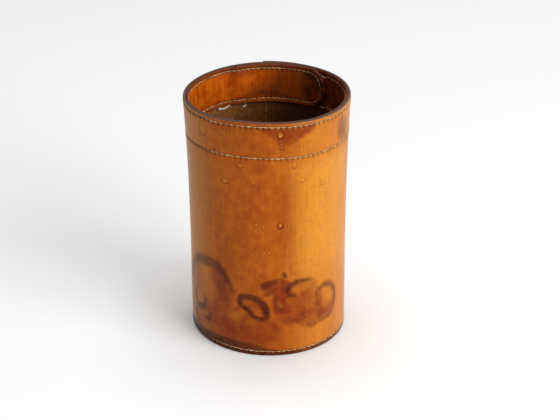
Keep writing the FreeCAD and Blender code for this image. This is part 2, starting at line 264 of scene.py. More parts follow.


# ---------------------------------------------------------------- stains, tints and painted light and shade of the wall and band

# Positions on the wall are degrees from the front towards the right and millimetres up. A mark
# is a brush drawn through points of (degrees, height, half width), then its strength and the
# softness of its edge in mm. Each one spreads in the leather a little beyond the brush.
BLEED = 0.35
PURPLE_MARKS = [
    # The large stain at lower left: its dried upper edge, its right lobe and its far side.
    (((-76, 36, 1.5), (-70, 47, 2), (-62, 53, 2.5), (-54, 55, 3), (-46, 56, 3), (-40, 56, 3),
      (-35, 55, 2.5), (-32, 52, 2), (-29, 48, 1.5), (-26, 44, 1), (-25, 40, 0.5)), 0.72, 2.0),
    (((-40, 56, 1.5), (-34, 54, 2), (-33, 49, 1)), 0.35, 1.6),
    (((-36, 50, 3), (-33, 42, 4), (-32, 34, 3)), 0.36, 3.5),
    (((-72, 44, 3), (-74, 30, 4), (-70, 16, 4)), 0.32, 3.0),
    # The horseshoe and the small hook within it, and the blotch at the foot.
    (((-66, 32, 0.6), (-67, 26, 0.9), (-64, 21, 1.4), (-58, 20, 2), (-53, 23, 1.3),
      (-52, 28, 0.6)), 0.85, 0.9),
    (((-54, 15, 0.5), (-50, 15, 0.9), (-47, 17, 0.9), (-47, 20, 0.5)), 0.80, 0.7),
    (((-66, 14, 2), (-64, 7, 2)), 0.70, 1.5),
    # The kidney.
    (((-20, 35, 1.4), (-19, 39, 1.7), (-14, 40, 1.9), (-9, 39, 1.9), (-5, 37, 1.9), (-1, 32, 1.8),
      (1, 27, 1.6), (-3, 25, 1.1), (-9, 26, 1.1), (-12, 29, 1.5), (-15, 31, 1.4),
      (-20, 32, 1.1), (-20, 35, 1.4)), 0.94, 1.2),
    # The group at lower right: two bars, a dot, a curl, a small loop and a long one.
    (((-2, 47, 1.6), (1, 48, 1.8), (6, 50, 1)), 0.66, 1.2),
    (((-1, 42, 1), (4, 43, 1)), 0.60, 1.2),
    (((12, 55, 1), (13, 54, 1)), 0.75, 0.7),
    (((12, 52, 0.5), (12, 43, 1.2)), 0.38, 1.4),
    (((33, 49, 0.4), (28, 49, 0.8), (23, 49, 1.2), (19, 48, 1.5), (16, 46, 1.4), (15, 43, 1.2),
      (17, 40, 1), (20, 40, 0.6)), 0.78, 1.2),
    (((7, 40, 0.8), (6, 36, 1), (7, 32, 1.2), (10, 31, 1.2), (13, 33, 0.8), (12, 38, 0.6)),
     0.42, 1.2),
    (((41, 40, 0.5), (45, 42, 1.2), (50, 41, 1.5), (56, 38, 1.4), (59, 32, 1), (58, 25, 0.9),
      (54, 19, 0.6), (46, 18, 0.4)), 0.74, 1.4),
    (((39, 42, 0.5), (38, 36, 0.6), (40, 28, 0.4)), 0.35, 1.0),
    (((42, 25, 1.5), (43, 19, 1.2)), 0.34, 1.5),
    (((26, 26, 1.2), (28, 23, 0.8)), 0.36, 1.2),
    (((32, 18, 1.5), (37, 17, 1.2)), 0.36, 1.2),
    (((14, 23, 2), (22, 23, 1.5)), 0.28, 1.8),
    # A dark band along the foot that thins out towards the right, and a line below.
    (((-100, 3, 4), (-60, 3, 4), (-40, 4, 4), (-20, 4, 4), (-8, 3, 3.4), (2, 2, 2.6),
      (12, 1, 1.6), (24, 0, 1.2)), 0.90, 1.8),
    (((-190, 1, 1.6), (0, 1, 1.6), (190, 1, 1.6)), 0.85, 1.2),
    # Under the rim, towards the right.
    (((63, 142, 3), (65, 135, 4.5)), 0.50, 2.4),
    (((72, 138, 4), (74, 128, 4)), 0.30, 3.0),
    # Out of the front view.
    (((150, 52, 1), (143, 62, 1.4), (151, 73, 1.5), (163, 72, 1.2), (168, 60, 1), (160, 51, 0.8),
      (150, 52, 1)), 0.70, 1.1),
    (((-128, 18, 1), (-134, 27, 1.4), (-128, 36, 1.5), (-119, 35, 1.3), (-114, 26, 1)),
     0.80, 1.0),
    (((104, 14, 1), (110, 24, 1.4), (120, 27, 1.5), (129, 20, 1.2), (128, 11, 0.8)), 0.74, 1.1),
    (((-158, 92, 0.8), (-153, 99, 1), (-146, 97, 1), (-145, 88, 0.7)), 0.55, 0.9),
    (((168, 138, 4), (178, 134, 4)), 0.35, 3.0),
]
RUSSET_MARKS = [
    # The soaked leather inside the large stain.
    (((-37, 48, 5), (-34, 40, 6), (-35, 30, 6)), 0.86, 2.6),
    (((-60, 46, 5), (-55, 30, 8), (-60, 14, 7)), 0.55, 4.0),
    # The brown worn patch at the foot, with its darker rings.
    (((-42, 18, 9), (-25, 17, 9), (-8, 16, 9), (4, 17, 7)), 0.80, 3.4),
    (((-16, 35, 3), (-7, 32, 3), (-4, 28, 2)), 0.60, 2.0),
    (((-30, 17, 1.5), (-33, 22, 1.5), (-29, 28, 1.2), (-22, 30, 1)), 0.75, 1.5),
    (((-30, 15, 2), (-22, 15, 2), (-16, 20, 2), (-14, 26, 1.5)), 0.75, 1.6),
    (((-10, 18, 1.5), (-4, 20, 2), (3, 22, 2), (7, 18, 1.5), (5, 12, 2), (-4, 11, 2),
      (-12, 13, 1.5)), 0.65, 1.8),
    # Behind the group at lower right.
    (((0, 47, 3), (8, 48, 4), (12, 47, 4)), 0.86, 1.0),
    (((10, 42, 4), (9, 35, 5), (13, 28, 5)), 0.86, 1.2),
    (((18, 44, 4), (25, 44, 5), (33, 44, 5)), 0.60, 1.4),
    (((18, 35, 7), (26, 34, 8), (33, 33, 8)), 0.76, 1.6),
    (((15, 26, 5), (24, 27, 5)), 0.66, 1.2),
    (((28, 25, 6), (35, 22, 6), (42, 22, 5)), 0.62, 1.4),
    (((40, 37, 3), (42, 30, 4), (48, 24, 5)), 0.62, 1.8),
    (((50, 22, 4), (56, 28, 3)), 0.50, 2.0),
    # The red patch under the rim, and the fainter ones to its left.
    (((-4, 147, 0.8), (3, 145, 2), (8, 143, 3), (12, 142, 4)), 0.90, 0.9),
    (((12, 142, 5), (19, 142, 4.5), (26, 144, 3), (33, 146, 2)), 0.92, 0.9),
    (((15, 137, 1.2), (19, 137, 1)), 0.60, 1.4),
    (((10, 139, 1.5), (11, 134, 1.2)), 0.62, 1.2),
    (((-8, 135, 2), (4, 133, 2)), 0.34, 2.2),
    (((-38, 145, 2), (-24, 145, 2)), 0.36, 2.2),
    # A long run of moisture down the front.
    (((14, 104, 1), (14, 84, 2), (14, 66, 1.5)), 0.20, 2.4),
    # Out of the front view.
    (((153, 58, 6), (157, 66, 6)), 0.45, 2.5),
    (((-124, 22, 5), (-124, 30, 5)), 0.50, 2.5),
    (((112, 17, 7), (122, 17, 7)), 0.55, 2.5),
    (((130, 122, 9), (140, 102, 9)), 0.24, 6.0),
    (((-100, 84, 9), (-100, 56, 9)), 0.24, 6.0),
    (((-184, 20, 8), (-160, 20, 8)), 0.45, 4.0),
]
for _ in range(16):
    spot = (dice.uniform(84, 276), dice.uniform(12, 140), dice.uniform(4, 9))
    below = (spot[0] + dice.uniform(-8, 8), spot[1] - dice.uniform(6, 30), dice.uniform(3, 8))
    RUSSET_MARKS.append(((spot, below), dice.uniform(0.12, 0.38), 6.0))
# Fine dark lines where the moisture ran down: degrees, the foot of the line.
for degrees, low in ((12.5, 56), (14.5, 62), (16.5, 52), (18, 54), (20, 60)):
    RUSSET_MARKS.append((((degrees, 118, 0.15), (degrees, low, 0.25)), 0.28, 0.45))
PALE_MARKS = [
    (((-53, 46, 4), (-51, 34, 4)), 0.55, 3.5),
    (((-60, 28, 3), (-59, 25, 3)), 0.50, 1.4),
    (((-27, 25, 2.5), (-23, 25, 2.5)), 0.50, 2.4),
    (((-13, 22, 1.8), (-11, 22, 1.8)), 0.30, 1.8),
    (((-17, 35, 1.5), (-14, 35, 1.5)), 0.30, 1.2),
    (((-10, 32, 1.5), (-5, 29, 1.5)), 0.30, 1.2),
    (((21, 44, 2), (23, 43, 2)), 0.50, 1.6),
    (((9, 36, 1.2), (10, 34, 1.2)), 0.30, 1.2),
    (((49, 37, 3.5), (49, 30, 3.5)), 0.45, 2.4),
    (((8, 14, 3), (18, 15, 4)), 0.20, 4.0),
]

# Small dried drops: degrees from the front, height, half width and half height in mm, how dark the
# ring is and how pale its middle; the pale middle is partly a painted highlight on the raised drop.
DROPS = [
    (10, 86.5, 1.8, 2.1, 1.00, 0.65),
    (10, 143, 2.1, 2.6, 0.95, 0.65),
    (11, 135, 1.4, 1.6, 0.65, 0.20),
    (-36, 129.5, 2.0, 1.8, 0.85, 0.20),
    (-34, 142, 0.9, 1.5, 0.60, 0.10),
    (-31, 141, 0.9, 1.5, 0.60, 0.10),
    (-18, 123, 2.4, 1.6, 0.55, 0.42),
    (-30, 112, 2.5, 2.0, 0.62, 0.30),
    (-9, 113, 1.5, 2.0, 0.48, 0.34),
    (-21, 106, 1.3, 1.5, 0.36, 0.20),
    (-5, 131, 1.5, 1.2, 0.40, 0.10),
    (25, 133, 1.3, 2.0, 0.30, 0.45),
    (20, 124, 1.5, 2.4, 0.50, 0.50),
    (26, 114, 1.5, 2.0, 0.48, 0.32),
    (43, 109, 1.6, 1.9, 0.46, 0.40),
    (-18, 92, 1.2, 2.2, 0.42, 0.36),
    (-7, 87, 1.3, 2.2, 0.46, 0.36),
    (-2, 86, 1.0, 2.0, 0.36, 0.34),
    (32, 88, 1.0, 2.0, 0.30, 0.30),
    (47, 101, 1.3, 1.8, 0.34, 0.26),
    (-3, 122, 1.5, 1.6, 0.32, 0.14),
    (19, 110, 1.1, 1.6, 0.30, 0.26),
    (-24, 85, 1.2, 1.8, 0.30, 0.20),
    (-10, 68, 1.3, 1.8, 0.40, 0.36),
    (-2, 67, 1.1, 1.6, 0.34, 0.30),
    (2, 69, 1.3, 1.7, 0.44, 0.44),
    (0, 72, 1.6, 1.8, 0.36, 0.10),
    (40, 56, 1.2, 1.5, 0.32, 0.26),
    (62, 56, 1.2, 2.2, 0.34, 0.18),
    (-56, 92, 1.4, 1.6, 0.40, 0.14),
    (-48, 140, 3.4, 3.6, 0.30, 0.14),
    (30, 25, 1.7, 1.7, 0.45, 0.14),
]
for _ in range(16):
    DROPS.append((
        dice.uniform(85, 275), dice.uniform(40, 120), dice.uniform(1.1, 2.4),
        dice.uniform(1.3, 2.6), dice.uniform(0.25, 0.7), dice.uniform(0.1, 0.4),
    ))

# Grime on the facing band, and painted shade on its right side inside the cup; here the degrees are
# from the back towards the right.
BAND_GRIME_AND_SHADE_MARKS = [
    (((-84, 146, 0.7), (-83, 138, 1.1), (-84, 130, 0.8)), 0.60, 0.9),
    (((-76, 143, 0.5), (-75, 136, 0.9), (-76, 129, 0.6)), 0.55, 0.8),
    (((-68, 147, 0.4), (-67, 141, 0.7), (-68, 136, 0.4)), 0.40, 0.8),
    (((-30, 129, 0.5), (-12, 131, 1.6), (0, 132, 2.6), (12, 130, 2), (24, 129, 0.8)), 0.66, 2.2),
    (((-10, 134, 4), (2, 134, 4)), 0.45, 3.0),
    # The next two marks are painted shade: the band round the tongue and beyond it, which lies in
    # shadow inside the cup.
    (((12, 138, 8), (34, 138, 12)), 0.66, 6.0),
    (((46, 139, 14), (66, 139, 14)), 0.96, 5.0),
    (((-100, 150, 1.5), (-20, 149, 2), (30, 148, 3), (90, 149, 2)), 0.62, 1.8),
    (((-28, 146, 2.5), (-16, 146, 2.5)), 0.30, 2.0),
]


def mottle(across, up, size, seed, octaves=3):
    """Cloudy values from 0 to 1 with features of the given size."""
    total = 0.0
    weight = 0.0
    for octave in range(octaves):
        lattice = np.random.default_rng(seed + octave).random((64, 64))
        finer = 2.0**octave
        x = across * finer / size + 3.7 * octave
        y = up * finer / size + 1.9 * octave
        column = np.floor(x).astype(int)
        row = np.floor(y).astype(int)
        sx = ease(x - column, 0, 1)
        sy = ease(y - row, 0, 1)
        here = [lattice[(row + j) % 64, (column + i) % 64] for j in (0, 1) for i in (0, 1)]
        low = here[0] + (here[1] - here[0]) * sx
        high = here[2] + (here[3] - here[2]) * sx
        total = total + (low + (high - low) * sy) / finer
        weight += 1 / finer
    return total / weight


def rounded(points):
    """The points of a stroke with its corners cut twice."""
    for _ in range(2):
        line = np.array(points, float)
        near = 0.75 * line[:-1] + 0.25 * line[1:]
        far = 0.25 * line[:-1] + 0.75 * line[1:]
        middle = np.stack([near, far], axis=1).reshape(-1, 3)
        points = np.concatenate([line[:1], middle, line[-1:]])
    return points


def stroke(across, up, points, soft):
    cover = np.zeros(across.shape)
    line = rounded(points)
    for (a, za, wa), (b, zb, wb) in zip(line, line[1:]):
        ax = a * AROUND
        dx = (b - a) * AROUND
        dy = zb - za
        share = np.clip(((across - ax) * dx + (up - za) * dy) / (dx * dx + dy * dy), 0, 1)
        half = wa + share * (wb - wa) + BLEED
        gap = np.hypot(across - ax - share * dx, up - za - share * dy) - half
        cover = np.maximum(cover, 1 - ease(gap, -soft, soft))
    return cover


def painted(across, up, marks):
    """Marks together, each one covering part of what is still uncovered."""
    bare = np.ones(across.shape)
    for points, strength, soft in marks:
        bare = bare * (1 - strength * stroke(across, up, points, soft))
    return 1 - bare


def wavered(across, up):
    """Positions nudged by about a millimetre, so that no outline is a drawn one."""
    shift_x = 2.0 * (mottle(across, up, 7.0, 40) - 0.5)
    shift_y = 2.0 * (mottle(across, up, 7.0, 50) - 0.5)
    return across + shift_x, up + shift_y


def stains(around, height):
    """Purple-brown dried edges, russet soaked leather and washed-out middles."""
    across, up = wavered(around, height)
    purple = painted(across, up, PURPLE_MARKS)
    purple = purple * (0.84 + 0.4 * mottle(around, height, 5.0, 60))
    russet = painted(across, up, RUSSET_MARKS)
    russet = russet * (0.60 + 0.40 * ease(mottle(around, height, 6.0, 70, 4), 0.25, 0.60))
    pale = painted(across, up, PALE_MARKS)
    return np.clip(purple, 0, 1), np.clip(russet, 0, 1), pale


def nearest_drop(around, height):
    """Position within the nearest dried drop, 1 at its outline, and its darkness and paleness,
    which are 0 away from it."""
    reach = np.full(around.shape, np.inf)
    across = np.zeros(around.shape)
    up = np.zeros(around.shape)
    dark = np.zeros(around.shape)
    pale = np.zeros(around.shape)
    for degrees, level, wide, high, darkness, paleness in DROPS:
        dx = (around - unwound(degrees) * AROUND) / wide
        dy = (height - level) / high
        away = np.hypot(dx, dy)
        nearer = away < reach
        reach = np.where(nearer, away, reach)
        across = np.where(nearer, dx, across)
        up = np.where(nearer, dy, up)
        dark = np.where(nearer, np.where(away < 2.4, darkness, 0), dark)
        pale = np.where(nearer, np.where(away < 2.4, paleness, 0), pale)
    return across, up, dark, pale


def tints(around, height):
    """Golden towards the light side, partly the leather's own colour and partly painted light; dull
    and paler towards the other side, partly its own colour and partly a painted pale reflection at
    the left edge.
    """
    bands = mottle(around, height / 14, 9.0, 80)
    clouds = mottle(around, height, 26.0, 90)
    golden = ease(around + 16 * (bands - 0.5) + 10 * (clouds - 0.5), 1.0, 32.0)
    golden = golden * (1 - 0.80 * ease(around + 30 * (clouds - 0.5), 54.0, 82.0))
    golden = golden * (0.5 + 0.5 * ease(height, 28, 72) * (1 - ease(height, 118, 130)))
    dull = 1 - ease(around + 12 * (bands - 0.5) + 8 * (clouds - 0.5), -50.0, -26.0)
    dull = dull * ease(around, -140.0, -110.0)
    return golden, dull


# ---------------------------------------------------------------- meshes


def put(name, points, faces, body="root"):
    mesh = bpy.data.meshes.new(name)
    mesh.from_pydata([tuple(p) for p in np.asarray(points) * MM], [], faces)
    mesh.validate()
    mesh.update()
    piece = bpy.data.objects.new(name, mesh)
    bpy.context.scene.collection.objects.link(piece)
    mesh.polygons.foreach_set("use_smooth", [True] * len(mesh.polygons))
    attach(piece, body)
    return piece


def weld(piece):
    """Join points that coincide, and point every face outwards."""
    work = bmesh.new()
    work.from_mesh(piece.data)
    bmesh.ops.remove_doubles(work, verts=work.verts, dist=WELD_GAP * MM)
    bmesh.ops.dissolve_degenerate(work, edges=work.edges, dist=WELD_GAP * MM / 2)
    bmesh.ops.recalc_face_normals(work, faces=work.faces)
    work.to_mesh(piece.data)
    work.free()


def keep_values(piece, name, *parts):
    """Store one vector of three parts per point, for the material to read."""
    layer = piece.data.attributes.new(name, "FLOAT_VECTOR", "POINT")
    values = np.stack(parts, axis=-1)
    layer.data.foreach_set("vector", values.astype(np.float32).ravel())


def grid_faces(columns, ring):
    """Quads of a tube of closed rings of points, column after column."""
    faces = []
    for i in range(columns - 1):
        here = i * ring
        there = here + ring
        for j in range(ring):
            k = (j + 1) % ring
            faces.append((here + j, there + j, there + k, here + k))
    return faces


def corner_points(centre, radius, start, count):
    angles = [math.radians(start + 90 * k / count) for k in range(count + 1)]
    return [(centre[0] + radius * math.cos(a), centre[1] + radius * math.sin(a)) for a in angles]


def strip_section(width, thickness, grain_rows, flesh_rows):
    """Closed outline of a cut strip: (height across the strip, depth below the grain)."""
    grain_top, flesh_top, flesh_foot, grain_foot = CUT_CORNERS
    outline = [(v, 0.0) for v in grain_rows]
    outline += corner_points((width - grain_top, grain_top), grain_top, -90, 5)
    outline += corner_points((width - flesh_top, thickness - flesh_top), flesh_top, 0, 4)
    outline += [(v, thickness) for v in flesh_rows[::-1]]
    outline += corner_points((flesh_foot, thickness - flesh_foot), flesh_foot, 90, 4)
    outline += corner_points((grain_foot, grain_foot), grain_foot, 180, 5)
    return np.array(outline)


def rows_between(low, high, coarse, fine_at, fine, reach):
    """Heights from low to high, close together near the stitched rows."""
    rows = [low]
    while rows[-1] < high - fine:
        near = min((abs(rows[-1] - at) for at in fine_at), default=1e9)
        rows.append(rows[-1] + (fine if near < reach else coarse))
    rows[-1] = high
    return rows


def wall_depth_radius(angle, height, depth):
    """Radius of a point of the rolled sheet, at its unwrapped azimuth and depth below the grain."""
    radius = wall_radius(height)
    turn = angle + 360
    flap = (GLUE_GAP + FLAP_EDGE) * (1 - ramp(turn, FLAP_TIP, FLAP_START))
    flap = np.where(turn < FLAP_START, flap, 0)
    pared = (LEATHER - SKIVED_EDGE) * ramp(angle, FLAP_TIP, SKIVED_TIP)
    pared = np.where(angle > FLAP_TIP, pared, 0)
    grain = radius + flap - pared
    lifted = SKIVED_EDGE + GLUE_GAP
    lifted = lifted + (LEATHER - SKIVED_EDGE) * (1 - ramp(turn, FLAP_TIP, FLAP_BEND))
    lifted = lifted * (1 - ramp(turn, FLAP_BEND, FLAP_FOOT))
    flesh = radius - LEATHER + np.where(turn < FLAP_FOOT, lifted, 0)
    return grain + (flesh - grain) * depth / LEATHER


def make_wall():
    rows = (UPPER_ROW, LOWER_ROW, BASE_MARGIN)
    grain_top, flesh_top, flesh_foot, grain_foot = CUT_CORNERS
    low_rows = rows_between(grain_foot, STAINED_TO, 1.0, rows, 0.4, 1.5)
    high_rows = rows_between(STAINED_TO, HEIGHT - grain_top, 2.2, rows, 0.4, 1.5)
    flesh_rows = rows_between(flesh_foot, HEIGHT - flesh_top, 6.0, (), 6.0, 0)
    section = strip_section(HEIGHT, LEATHER, low_rows + high_rows[1:], flesh_rows)
    bend = [FLAP_FOOT - 360, FLAP_BEND - 360, FLAP_START - 360]
    # Six columns to a stitch, so that every awl hole lies on one.
    step = 360 / STITCHES_ROUND / 6
    first_column = math.ceil((FLAP_TIP - 360) / step)
    last_column = math.floor(SKIVED_TIP / step)
    even = step * np.arange(first_column, last_column + 1)
    angles = np.array(sorted(set(np.round(np.concatenate([even, bend]), 4))))
    # The two cut ends are rounded: the last columns close in on the middle of the sheet.
    bullnose = [(0.0, 0.0), (0.06, 0.3), (0.2, 0.6), (0.45, 0.86), (0.8, 1.0)]
    first = [FLAP_TIP - 360 + reach / AROUND for reach, _ in bullnose]
    last = [SKIVED_TIP - reach / AROUND for reach, _ in bullnose]
    inner = angles[(angles > first[-1] + 0.1) & (angles < last[-1] - 0.1)]
    spread = [share for _, share in bullnose]
    columns = np.concatenate([first, inner, last[::-1]])
    fullness = np.concatenate([spread, np.ones(len(inner)), spread[::-1]])

    angle = np.repeat(columns, len(section))
    height = np.tile(section[:, 0], len(columns))
    depth = np.tile(section[:, 1], len(columns))
    full = np.repeat(fullness, len(section))
    middle = LEATHER / 2
    radius = wall_depth_radius(angle, height, middle + (depth - middle) * full)
    pit = pull_in(angle, height, (UPPER, LOWER, BASE, TONGUE, SEAM))
    seam_pit = pull_in(angle, height, (SEAM,))
    on_grain = 1 - depth / LEATHER
    radius = radius - pit * on_grain + seam_pit * (1 - on_grain)
    points = place(angle, radius, height)
    piece = put("wall_leather", points, grid_faces(len(columns), len(section)))
    around = -(angle + 180) * AROUND
    cut = np.minimum(np.minimum(height, HEIGHT - height), LEATHER * 2)
    tip = np.minimum(angle - columns[0], columns[-1] - angle) * AROUND
    keep_values(piece, "sheet", around, height, depth / LEATHER)
    # Painted shade: the wall's flesh side is darkened on the right inside the cup, where it lies in
    # shadow.
    shaded = ease(unwound(angle), -55, 30)
    keep_values(piece, "wear_and_shade", np.minimum(cut, tip), pit, shaded)
    keep_values(piece, "stain_and_shade", *stains(around, height))
    across, up, dark, pale = nearest_drop(around, height)
    keep_values(piece, "drop", across, up, dark)
    keep_values(piece, "tint", *tints(around, height), pale)
    weld(piece)
    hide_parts("body_wall")
    return piece


def band_depth_radius(angle, height, depth):
    """Radius of a point of the facing band; its grain faces the inside of the cup."""
    climb = ease(angle - 360, CLIMB_START, CLIMB_END)
    wall_side = wall_radius(height) - LEATHER - GLUE_GAP - (LEATHER + GLUE_GAP) * climb
    return wall_side - LEATHER + depth


def make_band():
    half = BAND_WIDTH / 2
    grain_top, flesh_top, flesh_foot, _ = CUT_CORNERS
    margin = half - ROW_MARGIN
    upper_half = rows_between(0, half - grain_top, 1.5, (margin,), 0.4, 1.3)
    grain_rows = [half - v for v in upper_half[:0:-1]] + [half + v for v in upper_half]
    flesh_rows = [flesh_foot, half / 2, half, 1.5 * half, BAND_WIDTH - flesh_top]
    section = strip_section(BAND_WIDTH, LEATHER, grain_rows, flesh_rows)
    count = round((TONGUE_CENTRE + 360 - UNDER_END) / 0.5)
    columns = np.linspace(UNDER_END, TONGUE_CENTRE + 360, count + 1)

    angle = np.repeat(columns, len(section))
    across = np.tile(section[:, 0] - half, len(columns))
    depth = np.tile(section[:, 1], len(columns))
    faces = grid_faces(len(columns), len(section))
    faces.append(tuple(range(len(section))))
    edge_gap = half - np.abs(across)

    # The tongue: the upper half of the outline, swung round the middle of the strip's end.
    chain = section[section[:, 0] >= half]
    start = int(np.argmin(np.abs(chain[:, 0] - half) + chain[:, 1]))
    chain = np.roll(chain, -start, axis=0)
    swings = np.linspace(0, math.pi, 49)
    reach = chain[:, 0] - half
    swing = np.repeat(swings, len(chain))
    out = np.tile(reach, len(swings))
    end_x = out * np.sin(swing)
    radius_here = WAIST - 2 * LEATHER
    end_angle = TONGUE_CENTRE + 360 + np.degrees(end_x / radius_here)
    end_across = out * np.cos(swing)
    end_depth = np.tile(chain[:, 1], len(swings))
    base = len(angle)
    for k in range(len(swings) - 1):
        for j in range(len(chain) - 1):
            here = base + k * len(chain) + j
            there = here + len(chain)
            faces.append((here, there, there + 1, here + 1))

    angle = np.concatenate([angle, end_angle])
    across = np.concatenate([across, end_across])
    depth = np.concatenate([depth, end_depth])
    edge_gap = np.concatenate([edge_gap, half - out])
    height = BAND_MIDDLE + across
    pit = pull_in(angle, height, (UPPER, LOWER, TONGUE))
    radius = band_depth_radius(angle, height, depth) + pit * (1 - depth / LEATHER)
    points = place(angle, radius, height)
    piece = put("rim_facing", points, faces)
    around = np.radians(angle) * radius_here
    keep_values(piece, "sheet", around, height, depth / LEATHER)
    keep_values(piece, "wear_and_shade", edge_gap, pit, np.ones(len(pit)))
    band_grime_and_shade = painted(unwound(angle) * AROUND, height, BAND_GRIME_AND_SHADE_MARKS)
    keep_values(piece, "stain_and_shade", band_grime_and_shade, 0 * band_grime_and_shade, 0 * band_grime_and_shade)
    weld(piece)
    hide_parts("rim_band")
    return piece


def make_bottom():
    bend = FLANGE_BEND
    rows = np.linspace(0, FLANGE - bend, 7)
    outer = [(wall_radius(z) - LEATHER - GLUE_GAP, z) for z in rows]
    shoulder = outer[-1][0] - bend
    outer += [
        (shoulder + bend * math.cos(a), FLANGE - bend + bend * math.sin(a))
        for a in np.linspace(0, math.pi / 2, 8)[1:]
    ]
    floor_edge = outer[-1][0]
    top = [(floor_edge * (1 - k / 14), FLANGE) for k in range(1, 15)]
    under = [(r, FLANGE - BOTTOM) for r, _ in top[::-1]]
    inner = [
        (shoulder + (bend - BOTTOM) * math.cos(a), FLANGE - bend + (bend - BOTTOM) * math.sin(a))
        for a in np.linspace(math.pi / 2, 0, 5)
    ]
    inner += [(wall_radius(z) - LEATHER - GLUE_GAP - BOTTOM, z) for z in rows[::-1][1:]]
    foot_round = [(inner[-1][0] + 0.3, -0.0), (outer[0][0] - 0.3, 0.0)]
    inner[-1] = (inner[-1][0], 0.3)
    outer[0] = (outer[0][0], 0.3)
    outline = np.array(outer + top + under + inner + foot_round)
    turns = np.arange(0, 360, 1.0)
    azimuth = np.repeat(turns, len(outline))
    radius = np.tile(outline[:, 0], len(turns))
    height = np.tile(outline[:, 1], len(turns))
    on_floor = ease(radius, 44, 38)
    uneven = unevenness(azimuth, radius) * on_floor
    sag = 0.35 * np.cos(radius / 40 * math.pi / 2) + 0.5 * uneven
    height = height - np.where(height > FLANGE - BOTTOM - 0.1, sag * on_floor, 0)
    pit = pull_in(azimuth, np.minimum(height, FLANGE - BOTTOM), (BASE,))
    inside = (radius < flange_inside(azimuth, height) + 0.2) & (height < FLANGE - bend)
    radius = radius + np.where(inside, pit, 0)
    points = place(azimuth, radius, height)
    columns = len(turns)
    ring = len(outline)
    faces = grid_faces(columns, ring)
    for j in range(ring):
        k = (j + 1) % ring
        last = (columns - 1) * ring
        faces.append((last + j, j, k, last + k))
    piece = put("bottom_leather", points, faces)
    turn = np.radians(azimuth)
    keep_values(piece, "sheet", radius * np.sin(turn), radius * np.cos(turn), height)
    gap = np.where(height < 1.5, height, 3.0)
    keep_values(piece, "wear_and_shade", gap, np.where(inside, pit, 0), np.ones(len(pit)))
    weld(piece)
    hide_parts("base_disc")
    return piece


# ---------------------------------------------------------------- thread


def cord_mesh(centres, normals, widths, heights, sides, twist, plies=3):
    """Points and faces of a plied cord along centres, flattened against the leather."""
    along = np.gradient(centres, axis=0)
    along /= np.linalg.norm(along, axis=1)[:, None]
    across = np.cross(along, normals)
    across /= np.linalg.norm(across, axis=1)[:, None]
    up = np.cross(across, along)
    turns = np.linspace(0, 2 * math.pi, sides, endpoint=False)
    run = np.linspace(0, 1, len(centres))
    lobes = 1 + 0.13 * np.cos(plies * (turns[None, :] - twist * run[:, None]))
    side = np.cos(turns)[None, :, None] * across[:, None, :] * widths[:, None, None]
    rise = np.sin(turns)[None, :, None] * up[:, None, :] * heights[:, None, None]
    points = centres[:, None, :] + (side + rise) * lobes[:, :, None]
    faces = grid_faces(len(centres), sides)
    faces.append(tuple(range(sides))[::-1])
    faces.append(tuple(range((len(centres) - 1) * sides, len(centres) * sides)))
    return points.reshape(-1, 3), faces


def outward(azimuth):
    turn = np.radians(azimuth)
    return np.stack([np.sin(turn), np.cos(turn), 0 * turn], axis=-1)


def collect(points, faces, more_points, more_faces):
    """Add one cord's points and faces to those gathered so far."""
    start = sum(len(p) for p in points)
    points.append(more_points)
    faces += [tuple(start + k for k in f) for f in more_faces]


def sunk_and_darkened(azimuth, side):
    """How far stitches are sunk in and darkened: outside they are darker towards the left; inside,
    round the tongue and beyond it, the darkening is painted shade where the inside of the cup lies
    in shadow."""
    if side < 0:
        return 0.6 * ease(unwound(azimuth), 5, 35) * ease(unwound(azimuth), 110, 80)
    front = -unwound(azimuth + 180)
    return ease(front, -34, -50) * ease(front, -130, -110)


def stitch_mesh(first, second, face, side, slant):
    """One stitch: up out of its hole, along the leather, and down into the next hole."""
    rings = 13
    run = np.linspace(0, 1, rings)
    step = np.array([(second[0] - first[0]) * AROUND, second[1] - first[1]])
    step = step / np.linalg.norm(step)
    shift = slant * (run - 0.5) + dice.uniform(-0.05, 0.05)
    azimuth = first[0] + (second[0] - first[0]) * run - shift * step[1] / AROUND
    height = first[1] + (second[1] - first[1]) * run + shift * step[0]
    arch = np.sqrt(np.clip(1 - np.abs(2 * run - 1) ** 1.7, 0, 1))
    peak = THREAD_ARCH + dice.uniform(-0.06, 0.06) - 0.16 * sunk_and_darkened(azimuth, side)
    lift = peak * arch - THREAD_DIP
    radius = face(azimuth, height) + side * lift
    centres = place(azimuth, radius, height)
    normals = side * outward(azimuth)
    thick = THREAD_HALF + dice.uniform(-0.03, 0.03)
    widths = (thick + 0.05) * (0.75 + 0.25 * arch)
    heights = thick * (0.8 + 0.2 * arch)
    return cord_mesh(centres, normals, widths, heights, 12, 4.5)


def make_stitches(name, row, face, side, node):
    slant = 0.34 * side
    points = []
    faces = []
    runs = []
    for first, second in zip(row, row[1:]):
        stitch = stitch_mesh(first, second, face, side, slant)
        collect(points, faces, *stitch)
        runs.append(np.full(len(stitch[0]), float(sunk_and_darkened(first[0], side))))
    points = np.concatenate(points)
    piece = put(name, points, faces)
    run = np.concatenate(runs)
    keep_values(piece, "thread_darkening", run, 0 * run, 0 * run)
    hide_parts(node)
    return piece


# The cut ends of thread inside: points of (azimuth, drop below the band, lift off the wall), half
# the thread's width, and which point has melted into a bead.
LONG_TAIL = ((-42, 0.9, 0.2), (-39, 1.5, 0.6), (-36, 1.5, 0.9), (-33, 1, 0.6), (-31, 0.4, 0.1))
SHORT_TAIL = ((-20, 2.6, 0.1), (-19, 3.4, 0.3), (-18.4, 2.9, 0.4), (-18, 1.4, 0.2))
TAILS = ((LONG_TAIL, 0.52, 0.2), (SHORT_TAIL, 0.45, 3.0))


